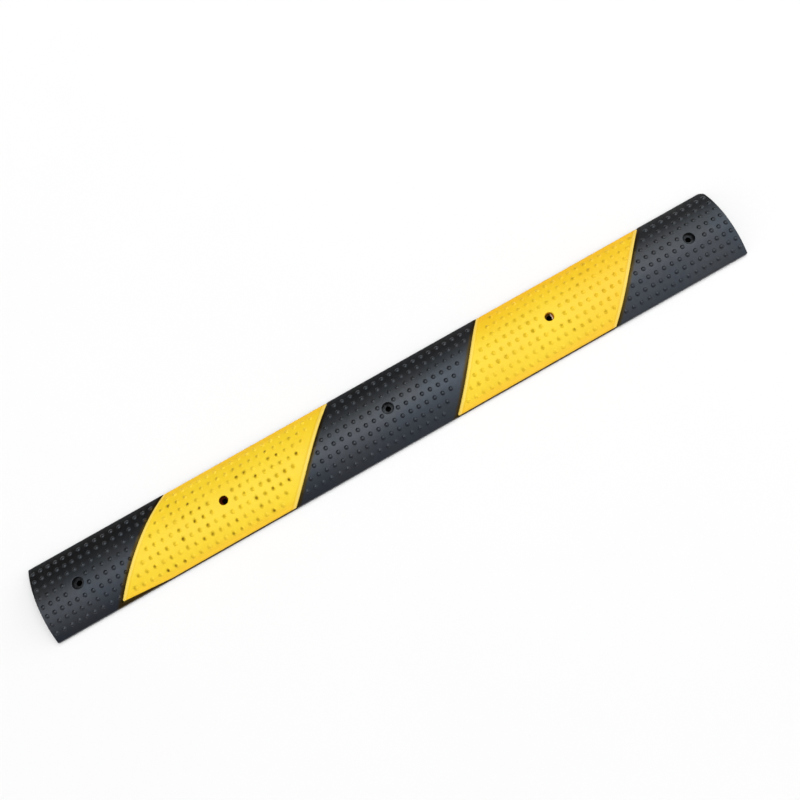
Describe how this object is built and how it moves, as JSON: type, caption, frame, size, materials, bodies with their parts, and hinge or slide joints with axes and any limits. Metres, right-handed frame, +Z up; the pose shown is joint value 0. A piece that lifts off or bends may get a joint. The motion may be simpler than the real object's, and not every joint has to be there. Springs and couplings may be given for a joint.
{
  "type": "rubber speed bump",
  "caption": "Low arched rubber speed bump module with slanting black and yellow bands, rows of anti-slip studs, bolt holes with steel washers along its crest, and a ribbed underside.",
  "frame": {"origin": "centre of the underside, on the road surface", "axes": "+X along the bump, +Y across it along the traffic, +Z up from the road"},
  "size_m": [1, 0.103, 0.0219],
  "materials": {
    "black_rubber": "moulded matt with a soft sheen",
    "yellow_rubber": "moulded satin, lightly soiled",
    "washer_steel": "dull zinc plate"
  },
  "bodies": {
    "root": {"rubber_base": "black_rubber", "yellow_panel_left": "yellow_rubber", "yellow_panel_right": "yellow_rubber", "bolt_washer_1": "washer_steel", "bolt_washer_2": "washer_steel", "bolt_washer_3": "washer_steel", "bolt_washer_4": "washer_steel", "bolt_washer_5": "washer_steel"}
  },
  "joints": []
}
